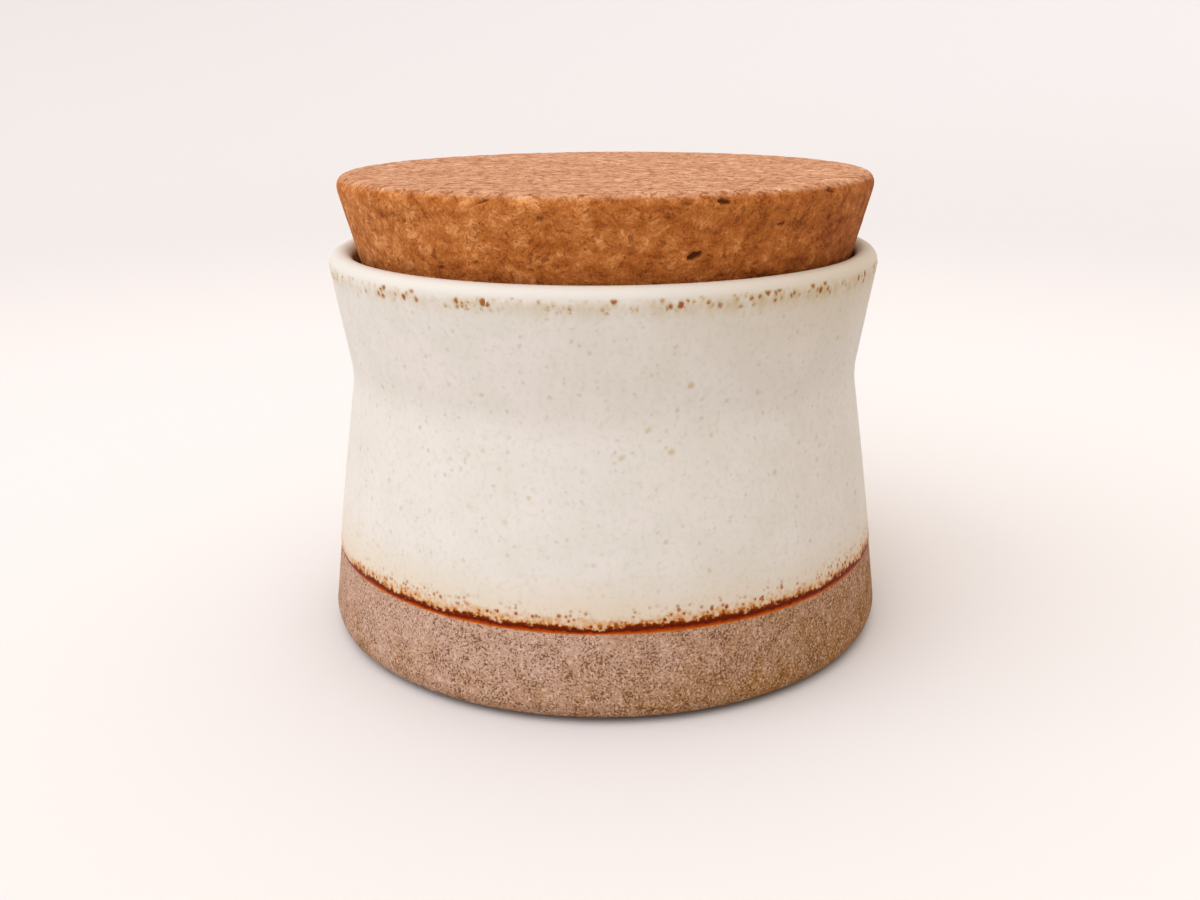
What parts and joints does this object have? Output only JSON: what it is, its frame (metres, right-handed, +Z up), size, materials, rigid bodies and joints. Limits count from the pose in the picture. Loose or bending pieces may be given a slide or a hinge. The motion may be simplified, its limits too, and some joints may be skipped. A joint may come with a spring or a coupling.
{
  "type": "cork lid canister",
  "caption": "Small round stoneware canister with a bare foot, a soft waist and a flared lip, closed by a tapered cork lid that stands in its mouth.",
  "frame": {"origin": "centre of the flat underside of the jar, on the surface it stands on", "axes": "+Z up along the jar's axis, towards the cork; +X to the right as seen from the front; +Y away from the viewer"},
  "size_m": [0.1008, 0.1008, 0.0799],
  "materials": {
    "glazed_stoneware": "satin cream glaze with fine specks and a rust line above a bare, speckled pinkish-brown clay foot",
    "pressed_cork": "matt pressed cork with flakes and small pits"
  },
  "bodies": {
    "root": {"jar": "glazed_stoneware", "cork_lid": "pressed_cork"}
  },
  "joints": []
}
